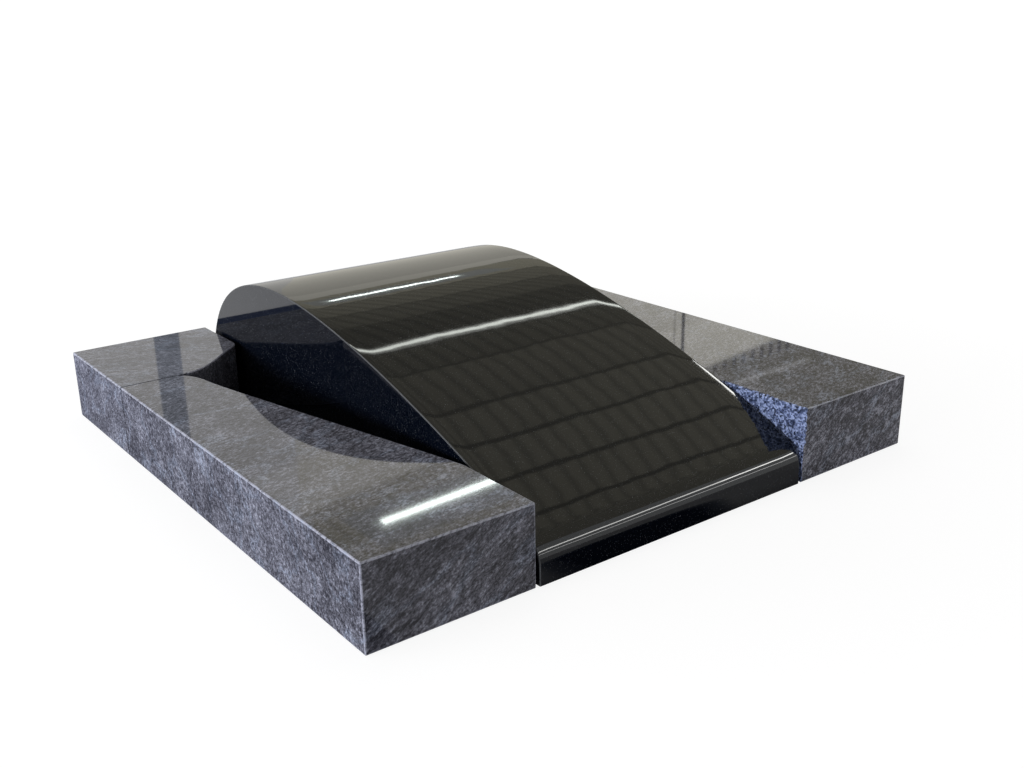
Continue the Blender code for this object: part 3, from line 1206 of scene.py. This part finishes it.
def left_kerb_outline():
    """The left kerb from above: straight outside, and drawn in beside the pocket."""
    outer = left_low.x
    inner = left_high.x
    front = left_low.y
    joint = left_high.y - JOINT_GAP / 2
    throat = outer + POCKET_THROAT_WIDTH
    tip = outer + POCKET_TIP_WIDTH
    start = front + POCKET_START
    end = joint - KERB_END_LENGTH
    run = end - start
    throat_reach = POCKET_THROAT_HANDLE * run
    lean = POCKET_THROAT_LEAN * (inner - throat)
    end_reach = POCKET_END_HANDLE * KERB_END_LENGTH
    points = [Vector((outer, front)), Vector((inner, front)), Vector((inner, start))]
    points += curve_points(
        points[-1],
        (inner, start + POCKET_BEND_HANDLE * run),
        (throat + lean, end - throat_reach),
        (throat, end),
        BEND_POINTS,
    )
    points += curve_points(
        points[-1],
        (throat - lean * end_reach / throat_reach, end + end_reach),
        (tip + POCKET_END_HANDLE * (throat - tip), joint),
        (tip, joint),
        THROAT_POINTS,
    )
    points.append(Vector((outer, joint)))
    return points


def corner_stone_outline():
    """The corner stone from above: square, with its front right corner cut to a curve."""
    outer = corner_low.x
    side = corner_high.x
    joint = corner_low.y + JOINT_GAP / 2
    back = corner_high.y
    tip = outer + CORNER_TIP_WIDTH
    shoulder = Vector((outer + CORNER_SHOULDER_WIDTH, joint + CORNER_SHOULDER_DEPTH))
    side_start = joint + CORNER_SIDE_START
    spread = shoulder.x - tip
    round_run = side - shoulder.x
    round_rise = side_start - shoulder.y
    points = [Vector((outer, joint)), Vector((tip, joint))]
    points += curve_points(
        points[-1],
        (tip + CORNER_TIP_HANDLE * spread, joint),
        (
            shoulder.x - CORNER_SHOULDER_RUN * spread,
            shoulder.y - CORNER_SHOULDER_RISE * CORNER_SHOULDER_DEPTH,
        ),
        shoulder,
        CONCAVE_POINTS,
    )
    points += curve_points(
        points[-1],
        (shoulder.x + CORNER_ROUND_RUN * round_run, shoulder.y + CORNER_ROUND_RISE * round_rise),
        (side, side_start - CORNER_SIDE_HANDLE * round_rise),
        (side, side_start),
        SHOULDER_POINTS,
    )
    points += [Vector((side, back)), Vector((outer, back))]
    return points


print("outlines have", len(left_kerb_outline()), "and", len(corner_stone_outline()), "points")

# %% [markdown]
# ## The ground arris and its painted highlight
#
# Sharp edges of granite chip, so the mason takes them off with a small round arris, and leaves it
# ground but unpolished: it looks paler than the polish beside it. On the kerbs it is made paler
# still, as a painted highlight for the bright lines that their edges catch. Bevel cuts that arris
# here, and gives its faces the second material. The edges at the joint of the two stones stay
# sharp.
#
# The large flat faces are shaded flat. If a rounded edge could bend their shading, the mirror
# image in them would bend as well.

# %% Cut the two stones
SHARP_ANGLE = math.radians(35)
KERB_ARRIS = 2.2 * MM
KERB_ARRIS_STEPS = 4
FLAT_FACE_AREA = 0.004


def round_edges(work, left_alone):
    """Take off every sharp edge with a small round arris, in the second material."""
    sharp = [
        edge for edge in work.edges
        if edge.calc_face_angle() > SHARP_ANGLE and not left_alone(edge)
    ]
    bmesh.ops.bevel(
        work, geom=sharp, offset=KERB_ARRIS, segments=KERB_ARRIS_STEPS, profile=0.5,
        affect="EDGES", material=1,
    )


def cut_kerb(points, height, joint):
    """Pull an outline up to a height. The face at the joint keeps its sharp edges."""
    work = bmesh.new()
    base = work.faces.new([work.verts.new((point.x, point.y, 0.0)) for point in points])
    pulled = bmesh.ops.extrude_face_region(work, geom=[base])["geom"]
    corners = [piece for piece in pulled if isinstance(piece, bmesh.types.BMVert)]
    bmesh.ops.translate(work, vec=(0.0, 0.0, height), verts=corners)
    bmesh.ops.recalc_face_normals(work, faces=work.faces)

    def left_alone(edge):
        return all(abs(corner.co.y - joint) < JOINT_GAP for corner in edge.verts)

    round_edges(work, left_alone)
    for face in work.faces:
        face.smooth = face.calc_area() < FLAT_FACE_AREA
    return work


def finish_kerb(stone, node):
    """Shade a kerb stone, and let it take the place of its packed one."""
    even_shading(stone)
    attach(stone, "root")
    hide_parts(node)
    print(stone.name, "has", len(stone.data.polygons), "faces")


left_kerb = make_object(
    "polished_left_kerb",
    cut_kerb(left_kerb_outline(), left_high.z, left_high.y),
    [blue_polished["left"], blue_arris["left"]],
)
finish_kerb(left_kerb, "left_kerb")
corner_stone = make_object(
    "polished_corner_stone",
    cut_kerb(corner_stone_outline(), corner_high.z, corner_low.y),
    [blue_polished["corner"], blue_arris["corner"]],
)
finish_kerb(corner_stone, "corner_stone")

# %% [markdown]
# ## The right kerb with its split face
#
# Three sides and the top of this stone are sawn and polished, and the side towards the block is
# split. Splitting leaves swells as wide as a thumb, and on them the flat faces of broken
# crystals, each leaning its own way, with a ragged line where the split meets the polish. A bump
# in the material would leave the outline straight. So the face is a grid of points about a
# millimetre and a half apart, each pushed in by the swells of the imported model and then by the
# facet of the crystal that it lies on. Small breaks eat into its edges, except low down at the
# front, where the stone broke clean.

# %% Work out the depth of the split face
SPLIT_DEPTH = 4 * MM
SPLIT_SWELL = 45 * MM
SPLIT_LUMP = 15 * MM
CRYSTAL_SIZE = 5.5 * MM
CRYSTAL_LEAN = 0.55
CHIP_REACH = 5 * MM
CHIP_DEPTH = 4.5 * MM
CLEAN_HEIGHT = 62 * MM
FACET_TURN = 7.3
FACET_STEP = 0.35
BITE_SIZE = 6 * MM
BITE_MIDDLE = 0.55
BITE_SPREAD = 0.9

# Large crystals with small ones on them: their size, and which slice of the cells
CRYSTAL_LAYERS = [(CRYSTAL_SIZE, 0.3), (0.45 * CRYSTAL_SIZE, 2.7)]


def swell_depth(y, z):
    """Depth of the broad swells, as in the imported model."""
    swell = noise.noise(Vector((y / SPLIT_SWELL, z / SPLIT_SWELL, 0.0)))
    lump = noise.noise(Vector((y / SPLIT_LUMP, z / SPLIT_LUMP, 1.0)))
    return SPLIT_DEPTH * min(max(0.5 * (1.0 + swell + lump), 0.0), 1.0)


def facet_depth(y, z, size, layer):
    """Depth of the flat crystal face at a place: a plane that leans at random in each cell."""
    place = Vector((y / size, z / size, layer))
    middle = noise.voronoi(place)[1][0]
    lean = noise.cell_vector(middle * FACET_TURN) - Vector((0.5, 0.5, 0.5))
    offset = place - middle
    return size * (lean.x * offset.x + lean.y * offset.y + FACET_STEP * lean.z)


def chip_depth(y, z, edge_distance):
    """Extra depth of the small breaks along an edge."""
    near = max(0.0, 1.0 - edge_distance / CHIP_REACH)
    bite = BITE_MIDDLE + BITE_SPREAD * noise.noise(Vector((y / BITE_SIZE, z / BITE_SIZE, 5.0)))
    return CHIP_DEPTH * near ** 2 * min(max(bite, 0.0), 1.0)


def split_depth(y, z):
    """Depth of the split face behind its highest grain."""
    depth = swell_depth(y, z)
    for size, layer in CRYSTAL_LAYERS:
        depth += CRYSTAL_LEAN * facet_depth(y, z, size, layer)
    front_distance = y - right_low.y + max(0.0, CLEAN_HEIGHT - z)
    edge_distance = min(right_high.z - z, front_distance, right_high.y - y)
    depth += chip_depth(y, z, edge_distance)
    return max(depth, 0.0)


print("split face depth at its middle", round(split_depth(0.0, 0.06) / MM, 2), "mm")

# %% [markdown]
# ## The rest of the right kerb
#
# The other sides of this stone are flat, and each is one large face. Those that meet the split
# side share the grid's edge points, so that the stone is one closed mesh. The sawn edges get
# their arris, the split ones stay as they broke, and the crystals are shaded flat, because each
# of them glints by itself.

# %% Cut the right kerb
SPLIT_CELL = 1.5 * MM


def split_grid(work):
    """Points of the split face: a list of upright columns, from the front to the back."""
    column_count = round((right_high.y - right_low.y) / SPLIT_CELL)
    row_count = round(right_high.z / SPLIT_CELL)
    grid = []
    for i in range(column_count + 1):
        y = right_low.y + (right_high.y - right_low.y) * i / column_count
        column = []
        for j in range(row_count + 1):
            z = right_high.z * j / row_count
            column.append(work.verts.new((right_low.x + split_depth(y, z), y, z)))
        grid.append(column)
    return grid


def cut_right_kerb():
    """The whole stone: its split face, and its sawn sides, top and underside."""
    work = bmesh.new()
    grid = split_grid(work)
    for near, far in zip(grid, grid[1:]):
        for j in range(len(near) - 1):
            face = work.faces.new((near[j], near[j + 1], far[j + 1], far[j]))
            face.material_index = 2

    front_foot = work.verts.new((right_high.x, right_low.y, 0.0))
    front_top = work.verts.new((right_high.x, right_low.y, right_high.z))
    back_foot = work.verts.new((right_high.x, right_high.y, 0.0))
    back_top = work.verts.new((right_high.x, right_high.y, right_high.z))
    work.faces.new((front_foot, back_foot, back_top, front_top))
    work.faces.new([*grid[0], front_top, front_foot])
    work.faces.new([*reversed(grid[-1]), back_foot, back_top])
    work.faces.new([*(column[-1] for column in grid), back_top, front_top])
    work.faces.new([*(column[0] for column in reversed(grid)), front_foot, back_foot])
    bmesh.ops.recalc_face_normals(work, faces=work.faces)
    rough_side = right_low.x + SPLIT_DEPTH + CHIP_DEPTH + CRYSTAL_SIZE

    def left_alone(edge):
        return all(corner.co.x < rough_side for corner in edge.verts)

    for face in work.faces:
        face.smooth = False
    round_edges(work, left_alone)
    for face in work.faces:
        face.smooth = face.material_index == 1
    return work


right_kerb = make_object(
    "polished_right_kerb",
    cut_right_kerb(),
    [blue_polished["right"], blue_arris["right"], blue_split],
)
finish_kerb(right_kerb, "right_kerb")

# %% [markdown]
# ## Check
#
# The fine stones have to stay where the imported ones are. For each stone, the farthest of the
# imported model's own points from the new surface is measured and printed.

# %% Compare with the imported model
for stone, node in (
    (wave, "wave_block"), (left_kerb, "left_kerb"),
    (corner_stone, "corner_stone"), (right_kerb, "right_kerb"),
):
    farthest = 0.0
    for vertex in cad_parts[node].data.vertices:
        nearest = stone.closest_point_on_mesh(vertex.co)[1]
        farthest = max(farthest, (nearest - vertex.co).length)
    print(node, "differs from the packed stone by at most", round(farthest / MM, 2), "mm")
